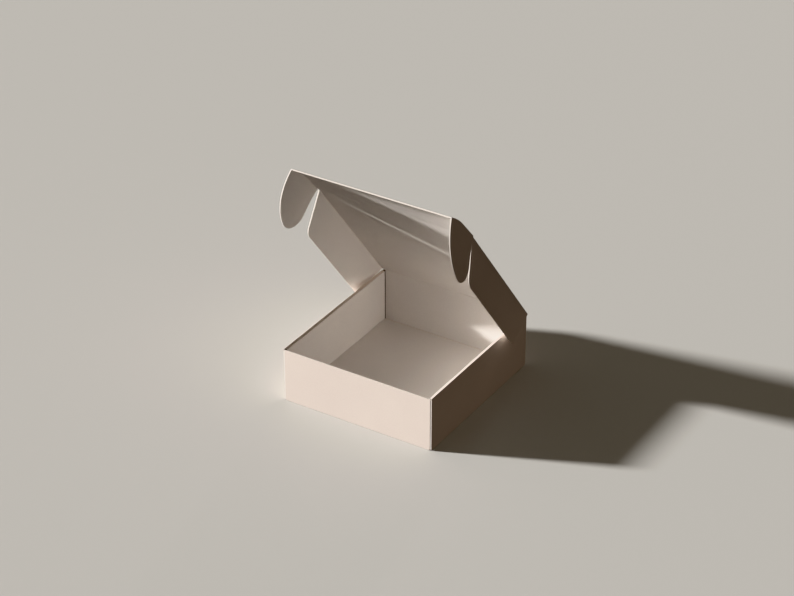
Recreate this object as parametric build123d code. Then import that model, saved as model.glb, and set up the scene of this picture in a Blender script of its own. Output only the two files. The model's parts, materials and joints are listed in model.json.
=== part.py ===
from build123d import *
import os
from math import cos, radians, sin, sqrt

# Mailer box folded from one sheet of card, standing open.
# X runs across the front, Y from the front wall to the back wall, Z up, with the tray's base centre at the origin.

# Sheet
board = 1.2                 # thickness of the card
bend_radius = 0.2           # inside radius of a fold that stays as it is
fold_round = 0.5            # its outside radius, sharp where the board is scored
fold_clear = 0.1            # least room between two board edges that meet at a working crease
edge_round_share = 0.45     # radius of a creased edge, as a share of the board

# Tray
tray_width = 200.0
tray_depth = 215.0
wall_height = 70.5          # underside to the crease line of the lid
front_drop = 1.2            # front wall's top below the side walls' tops
ply_gap = 0.2               # between the plies of a rolled side wall
ply_end_clear = 1.2         # inner ply's ends to the front and back walls
roll_fall = 1.6             # fall of a rolled top from its outer to its inner crease
roll_round = 0.6            # outside radius of a rolled top's creases
edge_set = 0.3              # side wall's cut ends behind the front and back faces
tab_length = 58.0           # corner tab held between the plies
tab_taper = 9.0             # corner tab's narrowing at its free end
lock_width = 26.0           # foot of the inner ply that locks into the base
lock_place = 56.0           # lock's centre to the middle of the side
lock_clear = 0.3            # lock in its slot, all round

# Lid and its flaps
lid_angle = 52.0            # opening at rest, in degrees
lid_clear = 0.3             # closed lid above the side walls
side_clear = 0.4            # hanging dust flap to the side wall
front_clear = 1.5           # hanging tuck flap to the front wall
flap_splay = 8.0            # dust flap's lean outwards at rest, in degrees
flap_depth = 46.5           # crease to free edge
flap_back_set = 0.4         # root's rear end from the lid's crease line
flap_back_slant = 16.0      # rear edge's run along the lid
flap_front_set = 0.8        # root's front end from the tuck flap's crease line
flap_front_slant = 30.0     # front edge's run along the lid
flap_front_corner = 16.0    # radius of the front lower corner
flap_back_corner = 2.0      # radius of the rear lower corner

# Tuck flap and its ears
tuck_fold = 3.5             # fold inwards at rest, in degrees
tuck_flat = 34.0            # straight stretch from the crease line
tuck_lip = 35.5             # length of the curled lip beyond it
tuck_curl = 20.0            # turn of the lip, in degrees
ear_clear = 0.8             # ear outside the dust flap's plane
ear_splay = 11.5            # ear's lean outwards at rest, in degrees
ear_set = 0.6               # root's rear end from the tuck flap's crease line
ear_reach = 58.6            # crease to the tongue's end
ear_end_radius = 19.4       # round end of the tongue
ear_overhang = 7.4          # round end's reach behind the tuck flap's crease line
ear_rake = 20.0             # slope at which the hollow rear edge runs into the round end, in degrees
ear_brow = 10.0             # slope at which the round end runs into the front edge, in degrees

# Working creases: both boards stop short of the fold's axis, and their edges are rounded
crease_inset = board / sqrt(2) + fold_clear
crease_gap = crease_inset - board / 2
edge_round = board * edge_round_share
bend_rise = bend_radius + board

# Levels and places
side_wall = 3 * board + 2 * ply_gap
side_top = wall_height - board / 2 - lid_clear
front_top = side_top - front_drop
back_top = wall_height - crease_gap
tab_top = side_top - roll_fall - board - ply_gap
ply_foot = board + ply_gap
half_width = tray_width / 2
half_depth = tray_depth / 2
end_half = half_width - board - ply_gap
hinge_y = half_depth - board / 2
flap_axis = half_width + side_clear + board / 2
ear_axis = flap_axis + board + ear_clear
lid_length = hinge_y + half_depth + front_clear + board / 2
lip_radius = tuck_lip / radians(tuck_curl)


def box_between(low, high):
    size = [b - a for a, b in zip(low, high)]
    middle = [(a + b) / 2 for a, b in zip(low, high)]
    return Pos(*middle) * Box(*size)


def run_y(face, start, end):
    return extrude(Plane.XZ.offset(-end) * face, amount=end - start)


def run_z(face, start, end):
    return extrude(Plane.XY.offset(start) * face, amount=end - start)


def bent_sheet(span, height):
    # section of a sheet that is bent up at both ends, resting on its own X axis
    outside = [(-span / 2, height), (-span / 2, 0), (span / 2, 0), (span / 2, height)]
    inside = [(x - board if x > 0 else x + board, max(y, board)) for x, y in reversed(outside)]
    section = make_face(Polyline(*outside, *inside, close=True))
    section = fillet(section.vertices().group_by(Axis.Y)[0], fold_round)
    inner_corners = [v for v in section.vertices() if abs(v.Y - board) < bend_radius / 2]
    return fillet([v for v in inner_corners if abs(v.X) < span / 2 - board / 2], bend_radius)


def base():
    stub = 2 * bend_rise
    across = run_y(bent_sheet(tray_width, stub), bend_rise - half_depth, half_depth - bend_rise)
    along = Plane.YZ * bent_sheet(tray_depth, stub)
    return across + extrude(along, amount=end_half - bend_rise, both=True)


def end_wall(top):
    # end wall with a tab folded in at each side, standing with its outer face on its own X axis
    plan = bent_sheet(2 * end_half, tab_length)
    taper = make_face(Polyline((tab_length, tab_top), (tab_length - tab_taper, tab_top),
                               (tab_length, tab_top - tab_taper), close=True))
    tabs = run_z(plan, bend_rise, tab_top) - extrude(Plane.YZ * taper, amount=tray_width, both=True)
    wall = plan & Pos(0, board / 2) * Rectangle(tray_width, board)
    return tabs + run_z(wall, bend_rise, top)


def front_wall():
    return Pos(0, -half_depth, 0) * end_wall(front_top)


def back_wall():
    # stands above the side walls to the lid's crease line
    crease = box_between((bend_rise - end_half, half_depth - board, side_top - board),
                         (end_half - bend_rise, half_depth, back_top))
    crease = fillet(crease.edges().group_by(Axis.Z)[-1].filter_by(Axis.X), edge_round)
    return Pos(0, half_depth, 0) * Rot(Z=180) * end_wall(side_top) + crease


def rolled_side():
    # right-hand side wall: outer ply, rolled top and inner ply, as one hook
    inner_face = half_width - side_wall
    slope = roll_fall / side_wall
    hook = make_face(Polyline(
        (half_width, bend_rise), (half_width, side_top), (inner_face, side_top - roll_fall),
        (inner_face, ply_foot), (inner_face + board, ply_foot),
        (inner_face + board, side_top - board - slope * (side_wall - board)),
        (half_width - board, side_top - board - slope * board), (half_width - board, bend_rise), close=True))
    hook = fillet(hook.vertices().sort_by(Axis.Y)[-1:], roll_round)
    inner_crease = hook.vertices().filter_by(lambda v: abs(v.X - inner_face) < ply_gap).sort_by(Axis.Y)[-1:]
    hook = fillet(inner_crease, roll_round)
    outer_ply = hook & Pos(half_width, side_top / 2) * Rectangle(2 * board, tray_width)
    top = hook & Pos(half_width, side_top) * Rectangle(tray_width, 2 * (roll_fall + board))
    ply_end = half_depth - board - ply_end_clear
    top_end = half_depth - board - edge_set
    cut_end = half_depth - edge_set
    side = run_y(hook, -ply_end, ply_end) + run_y(top, -top_end, top_end) + run_y(outer_ply, -cut_end, cut_end)
    for place in (-lock_place, lock_place):
        side += box_between((inner_face, place - lock_width / 2, ply_gap),
                            (inner_face + board, place + lock_width / 2, 2 * ply_foot))
    return side


def lock_slots():
    inner_face = half_width - side_wall
    slots = []
    for side in (-1, 1):
        for place in (-lock_place, lock_place):
            slots.append(Pos(side * (inner_face + board / 2), place, 0)
                         * Box(board + 2 * lock_clear, lock_width + 2 * lock_clear, 2 * ply_foot))
    return slots


def tray():
    right = rolled_side()
    floor = base() - lock_slots()
    return floor + front_wall() + back_wall() + right + mirror(right, Plane.YZ)


def lid_panel():
    # lies shut on its own axes: the crease line with the tray is X, and the lid runs to -Y
    half = flap_axis - crease_gap
    panel = box_between((-half, crease_gap - lid_length, -board / 2), (half, -crease_gap, board / 2))
    edges = panel.edges().filter_by(Axis.Z, reverse=True)
    return fillet(edges, edge_round)


def dust_flap():
    # right-hand flap hanging square from its crease, which is its own Y axis
    front_end = lid_length - flap_front_set
    corners = [(-flap_back_set, -crease_gap), (-flap_back_set - flap_back_slant, -flap_depth),
               (flap_front_slant - front_end, -flap_depth), (-front_end, -crease_gap)]
    shape = make_face(Polyline(*corners, close=True))
    shape = fillet(shape.vertices().group_by(Axis.Y)[0].sort_by(Axis.X)[:1], flap_front_corner)
    shape = fillet(shape.vertices().group_by(Axis.Y)[0].sort_by(Axis.X)[-1:], flap_back_corner)
    flap = extrude(Plane.YZ * shape, amount=board / 2, both=True)
    return fillet(flap.edges().filter_by(Axis.Y).group_by(Axis.Z)[-1], edge_round)


def on_lip(offset, turn):
    # point on the tuck flap's lip, off its middle surface and turned in from its start
    reach = lip_radius + offset
    return (-tuck_flat - reach * sin(radians(turn)), reach * cos(radians(turn)) - lip_radius)


def tuck_flap():
    # lies flat on its own axes: the crease line with the lid is X, and the flap runs to -Y with its lip curled down
    outline = []
    for face in (board / 2, -board / 2):
        outline.append(Line((-crease_gap, face), (-tuck_flat, face)))
        outline.append(ThreePointArc((-tuck_flat, face), on_lip(face, tuck_curl / 2), on_lip(face, tuck_curl)))
    outline.append(Line(on_lip(board / 2, tuck_curl), on_lip(-board / 2, tuck_curl)))
    outline.append(Line((-crease_gap, board / 2), (-crease_gap, -board / 2)))
    half = ear_axis - crease_gap
    flap = extrude(Plane.YZ * make_face(outline), amount=half, both=True)
    creased = flap.edges().group_by(Axis.X)[0] + flap.edges().group_by(Axis.X)[-1]
    creased = [e for e in creased if e.length > 2 * board]
    creased += flap.edges().filter_by(Axis.X).group_by(Axis.Y)[-1]
    return fillet(creased, edge_round)


def ear():
    # right-hand ear hanging square from its crease, which is its own Y axis
    rake, brow = radians(ear_rake), radians(ear_brow)
    centre_y, centre_z = ear_overhang - ear_end_radius, ear_end_radius - ear_reach
    root = (-ear_set, -crease_gap)
    back = (centre_y + ear_end_radius * cos(rake), centre_z + ear_end_radius * sin(rake))
    brow_start = (centre_y - ear_end_radius * sin(brow), centre_z - ear_end_radius * cos(brow))
    tip = on_lip(-crease_gap, tuck_curl)
    outline = [TangentArc(back, root, tangent=(-sin(rake), cos(rake))),
               ThreePointArc(back, arc_middle(back, brow_start, (centre_y, centre_z)), brow_start),
               TangentArc(brow_start, tip, tangent=(-cos(brow), sin(brow))),
               ThreePointArc(tip, on_lip(-crease_gap, tuck_curl / 2), on_lip(-crease_gap, 0)),
               Line(on_lip(-crease_gap, 0), root)]
    shape = extrude(Plane.YZ * make_face(outline), amount=board / 2, both=True)
    rooted = [e for e in shape.edges() if e.length > 2 * board and e.center().Z > -tuck_lip / 4]
    return fillet(rooted, edge_round)


def arc_middle(start, end, centre):
    # middle of the arc from start to end about centre
    toward = Vector(*start) + Vector(*end) - 2 * Vector(*centre)
    middle = Vector(*centre) + toward.normalized() * (Vector(*start) - Vector(*centre)).length
    return (middle.X, middle.Y)


lid_place = Pos(0, hinge_y, wall_height) * Rot(X=-lid_angle)
tuck_place = lid_place * Pos(0, -lid_length, 0) * Rot(X=tuck_fold)
right_flap = lid_place * Pos(flap_axis, 0, 0) * Rot(Y=-flap_splay) * dust_flap()
right_ear = tuck_place * Pos(ear_axis, 0, 0) * Rot(Y=-ear_splay) * ear()

nodes = {
    "tray": tray(),
    "lid_panel": lid_place * lid_panel(),
    "right_dust_flap": right_flap,
    "left_dust_flap": mirror(right_flap, Plane.YZ),
    "tuck_flap": tuck_place * tuck_flap(),
    "right_ear": right_ear,
    "left_ear": mirror(right_ear, Plane.YZ),
}

os.makedirs("parts", exist_ok=True)
for name, shape in nodes.items():
    export_step(shape, os.path.join("parts", name + ".step"))
    print(name, round(shape.volume, 1), len(shape.solids()))
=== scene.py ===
import json
import math

import bmesh
import bpy
from mathutils import Matrix, Vector


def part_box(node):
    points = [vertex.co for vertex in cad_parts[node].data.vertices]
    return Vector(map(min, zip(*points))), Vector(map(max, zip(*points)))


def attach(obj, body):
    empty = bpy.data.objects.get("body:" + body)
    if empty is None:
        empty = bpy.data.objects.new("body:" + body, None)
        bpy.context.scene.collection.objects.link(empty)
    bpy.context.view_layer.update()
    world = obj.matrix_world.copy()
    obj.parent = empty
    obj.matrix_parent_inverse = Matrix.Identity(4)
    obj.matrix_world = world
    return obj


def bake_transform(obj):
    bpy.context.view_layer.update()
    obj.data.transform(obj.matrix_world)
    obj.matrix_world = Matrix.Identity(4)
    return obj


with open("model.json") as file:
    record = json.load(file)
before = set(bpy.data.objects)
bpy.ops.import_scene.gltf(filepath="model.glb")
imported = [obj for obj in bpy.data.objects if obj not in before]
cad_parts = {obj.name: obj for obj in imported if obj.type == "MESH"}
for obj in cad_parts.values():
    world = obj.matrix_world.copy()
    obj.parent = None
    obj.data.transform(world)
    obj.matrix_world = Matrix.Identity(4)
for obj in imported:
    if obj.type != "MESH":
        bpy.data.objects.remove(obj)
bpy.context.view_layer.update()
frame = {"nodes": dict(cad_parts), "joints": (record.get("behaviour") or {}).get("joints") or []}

mm = 0.001
joints = {joint["name"]: joint for joint in frame["joints"]}
print("frame loaded:", len(frame["nodes"]), "panels,", len(joints), "creases")


# camera, fitted to the tray's corners and the lid's front fold

view = {
    "turn": 32.058,             # degrees round from the front
    "tilt": 31.079,             # degrees down
    "across": -10.87 * mm,      # camera's place along its own right and up
    "above": 98.52 * mm,
    "away": 3061.8 * mm,        # from the middle of the base
    "focalPixels": 2600,
    "imageWidth": 794,
    "clipEnd": 100,             # metres, past the far edge of the floor
}


def makeCamera():
    turn, tilt = math.radians(view["turn"]), math.radians(view["tilt"])
    level = math.cos(tilt)
    right = Vector((math.cos(turn), math.sin(turn), 0))
    look = Vector((-math.sin(turn) * level, math.cos(turn) * level, -math.sin(tilt)))
    up = right.cross(look)
    data = bpy.data.cameras.new("photoCamera")
    data.lens = data.sensor_width * view["focalPixels"] / view["imageWidth"]
    data.clip_end = view["clipEnd"]
    camera = bpy.data.objects.new("photoCamera", data)
    bpy.context.scene.collection.objects.link(camera)
    camera.matrix_world = Matrix((right, up, -look)).transposed().to_4x4()
    camera.location = right * view["across"] + up * view["above"] - look * view["away"]
    bpy.context.scene.camera = camera
    print("camera at", [round(v, 3) for v in camera.location], "lens", round(data.lens, 1))


makeCamera()


# light: one low soft key from the front left, an even warm fill, and three weak helpers

light = {
    "keyTurn": 23.5,                        # degrees forward from the left side
    "keyHeight": 16.9,                      # degrees above the floor
    "keyStrength": 8.28,
    "keyAngle": 4.0,                        # degrees across, for the width of the shadows' edges
    "keyTint": (1.0, 0.985, 0.965),
    "fill": 0.10,
    "fillTint": (1.0, 0.89, 0.79),
    "backFrom": (-0.18, 0.98, 0.03),        # level with the floor, onto the lid and the back wall
    "backStrength": 0.9,
    "backAngle": 3.0,
    "floorFrom": (0.0, 0.0, 1.0),           # for the floor alone
    "floorStrength": 0.22,
    "floorAngle": 150.0,
    "floorTint": (1.0, 0.92, 0.74),
    "bounceFrom": (1.0, 0.0, 0.0),          # a low card along the right wall
    "bounceAt": (0.205, 0.01, 0.026),       # metres
    "bounceLong": 0.38,
    "bounceTall": 0.03,
    "bouncePower": 0.0095,
    "bounceTint": (1.0, 0.86, 0.72),
}


def hang(name, kind, energy, tint, facing):
    # a lamp that shines from the side that facing points to
    data = bpy.data.lights.new(name, kind)
    data.energy, data.color = energy, tint
    lamp = bpy.data.objects.new(name, data)
    bpy.context.scene.collection.objects.link(lamp)
    lamp.rotation_mode = "QUATERNION"
    lamp.rotation_quaternion = Vector(facing).to_track_quat("Z", "Y")
    return lamp


def hangSun(name, use, tint, facing):
    # use is the first word of this sun's settings
    sun = hang(name, "SUN", light[use + "Strength"], tint, facing)
    sun.data.angle = math.radians(light[use + "Angle"])


def makeLight():
    turn, height = math.radians(light["keyTurn"]), math.radians(light["keyHeight"])
    level = math.cos(height)
    source = (-math.cos(turn) * level, -math.sin(turn) * level, math.sin(height))
    hangSun("keyLight", "key", light["keyTint"], source)
    hangSun("backFill", "back", light["keyTint"], light["backFrom"])
    hangSun("floorFill", "floor", light["floorTint"], light["floorFrom"])
    bounce = hang("bounceCard", "AREA", light["bouncePower"], light["bounceTint"], light["bounceFrom"])
    bounce.data.shape = "RECTANGLE"
    bounce.data.size, bounce.data.size_y = light["bounceLong"], light["bounceTall"]
    bounce.location = light["bounceAt"]
    bounce.visible_camera = False
    world = bpy.data.worlds.new("softRoom")
    world.use_nodes = True
    room = world.node_tree.nodes["Background"]
    room.inputs["Color"].default_value = (*light["fillTint"], 1)
    room.inputs["Strength"].default_value = light["fill"]
    bpy.context.scene.world = world
    bpy.context.scene.view_settings.view_transform = "Khronos PBR Neutral"
    print("light from", [round(v, 3) for v in source])


makeLight()


# helpers for node trees: wire() makes one node and links or sets its inputs

def wire(tree, kind, inputs=None, **settings):
    node = tree.nodes.new(kind)
    for name, value in settings.items():
        setattr(node, name, value)
    for name, value in (inputs or {}).items():
        if isinstance(value, bpy.types.NodeSocket):
            tree.links.new(value, node.inputs[name])
        else:
            node.inputs[name].default_value = value
    return node


def math2(tree, operation, a, b=0.0):
    return wire(tree, "ShaderNodeMath", {0: a, 1: b}, operation=operation).outputs[0]


def along(tree, vector, axis):
    dot = wire(tree, "ShaderNodeVectorMath", {0: vector, 1: axis}, operation="DOT_PRODUCT")
    return dot.outputs["Value"]


def mixColour(tree, share, first, second):
    mix = wire(tree, "ShaderNodeMix", {0: share, 6: first, 7: second}, data_type="RGBA")
    return mix.outputs[2]


# card: smooth matt paper, warm beige outside, paler inside, with a light raw cut edge

card = {
    "outside": (0.785, 0.683, 0.610, 1),
    "inside": (0.83, 0.787, 0.748, 1),
    "cutEdge": (0.82, 0.755, 0.69, 1),
    "edgeFacing": 0.35,         # a face turned less than this towards either side is a cut edge
    "cloudScale": 18,           # soft uneven tone, per metre
    "cloudDetail": 3.0,
    "cloudDepth": 0.035,
    "fibreScale": 900,
    "fibreDetail": 4.0,
    "fibreDepth": 0.05,
    "grainScale": 3200,
    "grainDetail": 2.0,
    "grainBump": 0.12,
    "grainHeight": 0.05 * mm,
    "noiseLow": 0.3,            # the stretch of a noise that is spread over a range
    "noiseHigh": 0.7,
    "roughLow": 0.62,
    "roughHigh": 0.78,
    "specular": 0.28,
}


def noise(tree, place, use):
    inputs = {"Vector": place, "Scale": card[use + "Scale"], "Detail": card[use + "Detail"]}
    return wire(tree, "ShaderNodeTexNoise", inputs).outputs["Fac"]


def spread(tree, level, low, high):
    inputs = {0: level, 1: card["noiseLow"], 2: card["noiseHigh"], 3: low, 4: high}
    return wire(tree, "ShaderNodeMapRange", inputs).outputs[0]


def paper(name, colourOf):
    # colourOf(tree, place, facing) gives the base tone's socket, from the object's own place and facing
    material = bpy.data.materials.new(name)
    material.use_nodes = True
    tree = material.node_tree
    shader = tree.nodes["Principled BSDF"]
    coords = wire(tree, "ShaderNodeTexCoord")
    place, facing = coords.outputs["Object"], coords.outputs["Normal"]
    cloud, fibre, grain = (noise(tree, place, use) for use in ("cloud", "fibre", "grain"))
    cloudShade = spread(tree, cloud, 1 - card["cloudDepth"], 1.0)
    fibreShade = spread(tree, fibre, 1 - card["fibreDepth"], 1.0)
    shade = math2(tree, "MULTIPLY", fibreShade, cloudShade)
    base = colourOf(tree, place, facing)
    tone = wire(tree, "ShaderNodeVectorMath", {0: base, "Scale": shade}, operation="SCALE")
    rough = spread(tree, fibre, card["roughLow"], card["roughHigh"])
    bump = wire(tree, "ShaderNodeBump", {"Height": grain, "Strength": card["grainBump"],
                                         "Distance": card["grainHeight"]})
    tree.links.new(tone.outputs[0], shader.inputs["Base Color"])
    tree.links.new(rough, shader.inputs["Roughness"])
    tree.links.new(bump.outputs["Normal"], shader.inputs["Normal"])
    shader.inputs["Specular IOR Level"].default_value = card["specular"]
    return material


def panelTone(outward):
    # a flat panel: one side each way along outward, and the cut edge between them
    def colourOf(tree, place, facing):
        turned = along(tree, facing, outward)
        outside = math2(tree, "GREATER_THAN", turned, 0.0)
        edge = math2(tree, "LESS_THAN", math2(tree, "ABSOLUTE", turned), card["edgeFacing"])
        faces = mixColour(tree, outside, card["inside"], card["outside"])
        return mixColour(tree, edge, faces, card["cutEdge"])
    return colourOf


tray = {
    "skin": 0.3 * mm,           # depth of the outer faces' tone
    "edgeFacing": 0.6,          # a face turned up more than this, near the front or back, is a cut edge
    "edgeBand": 2.4 * mm,       # and how near
    "rim": 1.9 * mm,            # the rolled tops, from the highest point down
    "outerPly": 1.25 * mm,      # outer ply's inside, and a hair, in from the tray's side
    "plyFace": 4.1 * mm,        # inner ply's face, and a hair
    "slitFrom": 1.15 * mm,      # painted shade in the slit between an inner ply's end and the wall, from the wall's outside
    "slitTo": 2.45 * mm,
    # painted shade: a dark colour standing in for the shade deep in the slits
    "slitPaintedShade": (0.16, 0.13, 0.105, 1),
}


def trayTone(tree, place, facing):
    # the outer faces and the rolled tops have the outside tone, and what shows within has the inside
    # one; the slits at the inner plies' ends are painted dark, as shade
    def above(value, limit):
        return math2(tree, "GREATER_THAN", value, limit)

    def below(value, limit):
        return math2(tree, "LESS_THAN", value, limit)

    def both(first, second):
        return math2(tree, "MULTIPLY", first, second)

    def either(first, second):
        return math2(tree, "MAXIMUM", first, second)

    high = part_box("tray")[1]
    split = wire(tree, "ShaderNodeSeparateXYZ", {0: place})
    turned = wire(tree, "ShaderNodeSeparateXYZ", {0: facing})
    sideways = math2(tree, "ABSOLUTE", split.outputs["X"])
    endways = math2(tree, "ABSOLUTE", split.outputs["Y"])
    height = split.outputs["Z"]
    inPlies = above(sideways, high.x - tray["plyFace"])
    outside = either(above(sideways, high.x - tray["skin"]), above(endways, high.y - tray["skin"]))
    outside = either(outside, below(height, tray["skin"]))
    outside = either(outside, both(inPlies, above(height, high.z - tray["rim"])))
    upward = above(turned.outputs["Z"], tray["edgeFacing"])
    edge = both(upward, above(endways, high.y - tray["edgeBand"]))
    # painted shade: the slits between the inner plies' ends and the end walls are coloured dark
    slitShade = both(inPlies, below(sideways, high.x - tray["outerPly"]))
    slitShade = both(slitShade, above(endways, high.y - tray["slitTo"]))
    slitShade = both(slitShade, below(endways, high.y - tray["slitFrom"]))
    faces = mixColour(tree, outside, card["inside"], card["outside"])
    faces = mixColour(tree, edge, faces, card["cutEdge"])
    return mixColour(tree, slitShade, faces, tray["slitPaintedShade"])


def dress(node, material):
    target = frame["nodes"][node]
    target.data.materials.clear()
    target.data.materials.append(material)


across = Vector((1, 0, 0))
outwards = {"left": -across, "right": across}
lidRun = -Vector(joints["left_flap_crease"]["axis"])    # from the lid's back crease to its front fold
tuckRun = -Vector(joints["left_ear_crease"]["axis"])    # from that fold to the lip


def upSide(run):
    face = across.cross(run)
    return face if face.z > 0 else -face


def hangingSide(node, run, hinge):
    # a hanging flap faces away from the middle, turned by its splay about its crease
    low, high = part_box(node)
    middle = (low + high) / 2
    drop = middle - Vector(hinge)
    drop -= run * drop.dot(run)
    face = drop.cross(run).normalized()
    return face if face.x * middle.x > 0 else -face


lidOut, tuckOut = upSide(lidRun), upSide(tuckRun)
dress("tray", paper("cardTray", trayTone))
dress("lid_panel", paper("cardLid", panelTone(lidOut)))
dress("tuck_flap", paper("cardTuck", panelTone(tuckOut)))
for side in outwards:
    flapOut = hangingSide(side + "_dust_flap", lidRun, joints[side + "_flap_crease"]["pos_m"])
    earOut = hangingSide(side + "_ear", tuckRun, joints[side + "_ear_crease"]["pos_m"])
    dress(side + "_dust_flap", paper("cardFlap-" + side, panelTone(flapOut)))
    dress(side + "_ear", paper("cardEar-" + side, panelTone(earOut)))
print("card on", len(frame["nodes"]), "panels")


# creases: the sheet runs on round each working fold, as a strip bent to the fold's shape at rest; the
# ear strips ride with the tuck flap

crease = {
    "half": 0.61 * mm,          # half the board, and a hair to cover the panels' rounded edges
    "leg": 0.95 * mm,           # from the fold's axis onto each panel
    "turning": 0.45,            # share of a leg that takes part in the bend
    "steps": 5,
    "sharp": 50,                # degrees, from which an edge stays crisp
    "lidShort": 2.8 * mm,       # ends of the lid's strip, in from the tray's sides
    "foldShort": 0.4 * mm,      # ends of the tuck flap's strip, in from the lid's sides
    "flapFrom": 0.5 * mm,       # a dust flap's strip, from the lid's back crease
    "flapShort": 0.9 * mm,      # and short of its front fold
}


def skin(name, rings, material):
    # closed skin through rings of points
    form = bmesh.new()
    loops = [[form.verts.new(point) for point in points] for points in rings]
    for near, far in zip(loops, loops[1:]):
        for i in range(len(near)):
            j = (i + 1) % len(near)
            form.faces.new((near[i], near[j], far[j], far[i]))
    form.faces.new(loops[0])
    form.faces.new(loops[-1])
    bmesh.ops.recalc_face_normals(form, faces=form.faces)
    for face in form.faces:
        face.smooth = True
    mesh = bpy.data.meshes.new(name)
    form.to_mesh(mesh)
    form.free()
    mesh.set_sharp_from_angle(angle=math.radians(crease["sharp"]))
    mesh.materials.append(material)
    piece = bpy.data.objects.new(name, mesh)
    bpy.context.scene.collection.objects.link(piece)
    return piece


def splayOf(joint):
    # a hanging flap stands out from square by as much as its joint lets it swing back
    return math.radians(-joint["range_deg"][0])


def foldSection(toFirst, toSecond):
    # outline of a fold between two boards, about its axis: round outside, sharp inside
    half, leg, steps = crease["half"], crease["leg"], crease["steps"]
    outFirst = (toFirst * toFirst.dot(toSecond) - toSecond).normalized()
    outSecond = (toSecond * toFirst.dot(toSecond) - toFirst).normalized()
    corner = (toFirst + toSecond).normalized() * (half / math.sin(toFirst.angle(toSecond) / 2))
    shares = [i / steps for i in range(steps)]
    outline = [toFirst * (leg * (1 - share)) + outFirst * half for share in shares]
    outline += [outFirst.slerp(outSecond, share) * half for share in shares + [1.0]]
    outline += [toSecond * (leg * (1 - share)) + outSecond * half for share in reversed(shares)]
    outline += [(toSecond * leg - outSecond * half).lerp(corner, share) for share in shares]
    outline += [corner.lerp(toFirst * leg - outFirst * half, share) for share in shares + [1.0]]
    return outline


def foldStrip(name, start, end, toFirst, toSecond, material):
    outline = foldSection(toFirst, toSecond)
    piece = skin(name, [[point + place for place in outline] for point in (start, end)], material)
    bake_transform(piece)


lip = {
    "flat": 34 * mm,            # tuck flap's straight stretch
    "length": 35.5 * mm,        # its curled lip
    "curl": 20,                 # degrees
    "earFrom": 0.9 * mm,        # an ear's strip, from the tuck fold
    "inner": 0.5 * mm,          # its reach over the flap's side
    "outer": 0.5 * mm,          # and over the ear
    "steps": 16,
    "points": 14,
}


def ring(centre, sideways, upward, halfWide, halfThick):
    turns = [2 * math.pi * i / lip["points"] for i in range(lip["points"])]
    return [centre + sideways * (halfWide * math.cos(turn)) + upward * (halfThick * math.sin(turn))
            for turn in turns]


def earStrip(side, material):
    # the fold between the tuck flap and an ear, along the flat and then round the curled lip
    outward = outwards[side]
    joint = joints[side + "_ear_crease"]
    axisAt = Vector(joint["pos_m"])
    radius = lip["length"] / math.radians(lip["curl"])
    rings = []
    for i in range(lip["steps"] + 1):
        reach = lip["earFrom"] + (lip["flat"] + lip["length"] - lip["earFrom"]) * i / lip["steps"]
        turn = max(0, reach - lip["flat"]) / radius
        fall = radius * (1 - math.cos(turn))
        run = min(reach, lip["flat"]) + radius * math.sin(turn)
        place = axisAt + tuckRun * run - tuckOut * fall
        upward = tuckOut * math.cos(turn) + tuckRun * math.sin(turn)
        far = math.tan(splayOf(joint)) * fall + lip["outer"]
        middle = place + outward * ((far - lip["inner"]) / 2)
        rings.append(ring(middle, outward, upward, (far + lip["inner"]) / 2, crease["half"]))
    piece = skin("earStrip-" + side, rings, material)
    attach(piece, "tuck")


lidAt = Vector(joints["lid_crease"]["pos_m"])
foldAt = Vector(joints["tuck_crease"]["pos_m"])
creasePaper = paper("cardCrease", panelTone(lidOut))
backHalf = across * (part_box("tray")[1].x - crease["lidShort"])
foldHalf = across * (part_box("lid_panel")[1].x - crease["foldShort"])
down = Vector((0, 0, -1))
foldStrip("lidCrease", lidAt - backHalf, lidAt + backHalf,
          down, lidRun, creasePaper)
foldStrip("tuckCrease", foldAt - foldHalf, foldAt + foldHalf,
          -lidRun, tuckRun, creasePaper)
for side, outward in outwards.items():
    joint = joints[side + "_flap_crease"]
    flapAt = Vector(joint["pos_m"])
    flapDown = outward * math.sin(splayOf(joint)) - lidOut * math.cos(splayOf(joint))
    flapStart = flapAt + lidRun * crease["flapFrom"]
    flapEnd = flapAt + lidRun * ((foldAt - lidAt).length - crease["flapShort"])
    foldStrip("flapCrease-" + side, flapStart, flapEnd,
              -outward, flapDown, creasePaper)
    earStrip(side, creasePaper)
print("creases filled")


# floor: plain and pale

floor = {
    "half": 12.0,               # metres
    "tone": (0.58, 0.567, 0.541, 1),
    "rough": 0.85,
    "specular": 0.2,
    "drop": 0.05 * mm,          # below the tray's underside
}


def makeFloor():
    half = floor["half"]
    corners = [(-half, -half, 0), (half, -half, 0), (half, half, 0), (-half, half, 0)]
    mesh = bpy.data.meshes.new("floor")
    mesh.from_pydata(corners, [], [(0, 1, 2, 3)])
    ground = bpy.data.objects.new("floor", mesh)
    ground.location.z = -floor["drop"]
    ground.visible_diffuse = False              # takes shadows, and sends no glow up into the box
    bpy.context.scene.collection.objects.link(ground)
    material = bpy.data.materials.new("paleFloor")
    material.use_nodes = True
    shader = material.node_tree.nodes["Principled BSDF"]
    shader.inputs["Base Color"].default_value = floor["tone"]
    shader.inputs["Roughness"].default_value = floor["rough"]
    shader.inputs["Specular IOR Level"].default_value = floor["specular"]
    mesh.materials.append(material)
    # the low card passes the floor by, and the floor's own light falls on nothing else
    for lamp, state in (("bounceCard", "EXCLUDE"), ("floorFill", "INCLUDE")):
        linked = bpy.data.collections.new(lamp + "Floor")
        linked.objects.link(ground)
        linked.collection_objects[0].light_linking.link_state = state
        bpy.data.objects[lamp].light_linking.receiver_collection = linked
    print("floor laid")


makeFloor()
